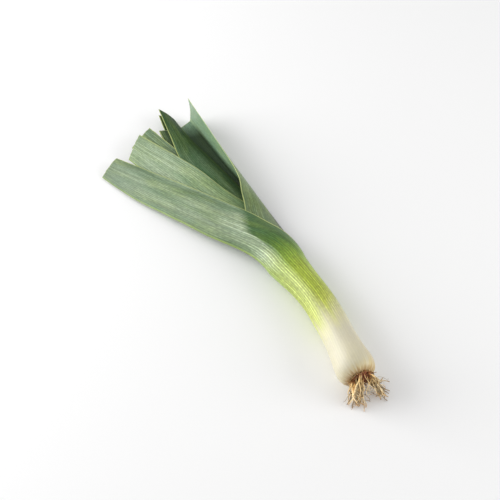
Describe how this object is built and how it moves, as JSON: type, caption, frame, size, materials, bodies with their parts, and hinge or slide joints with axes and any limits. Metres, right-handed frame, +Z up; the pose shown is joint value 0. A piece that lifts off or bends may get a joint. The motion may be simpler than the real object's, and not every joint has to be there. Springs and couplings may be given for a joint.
{
  "type": "leek",
  "caption": "Trimmed leek lying on its side: white bulb and shank with a root tuft, pale green throat and a fan of folded strap leaves cut off at their ends.",
  "frame": {"origin": "middle of the small flat that the bulb rests on", "axes": "+Z up, +X along the shank from the leaf tips towards the roots, +Y to the right of someone who looks from the roots to the leaf tips"},
  "size_m": [0.429, 0.1578, 0.0375],
  "materials": {
    "shank_skin": "smooth moist leaf sheath, white at the bulb and yellow-green at the throat",
    "roots": "dry straw-coloured roots on a brown root plate",
    "leaf": "grey-green waxy leaf with fine parallel veins"
  },
  "bodies": {
    "root": {"shank": "shank_skin", "root_tuft": "roots", "leaf_1": "leaf", "leaf_2": "leaf", "leaf_3": "leaf", "leaf_4": "leaf", "leaf_5": "leaf", "leaf_6": "leaf"}
  },
  "joints": []
}
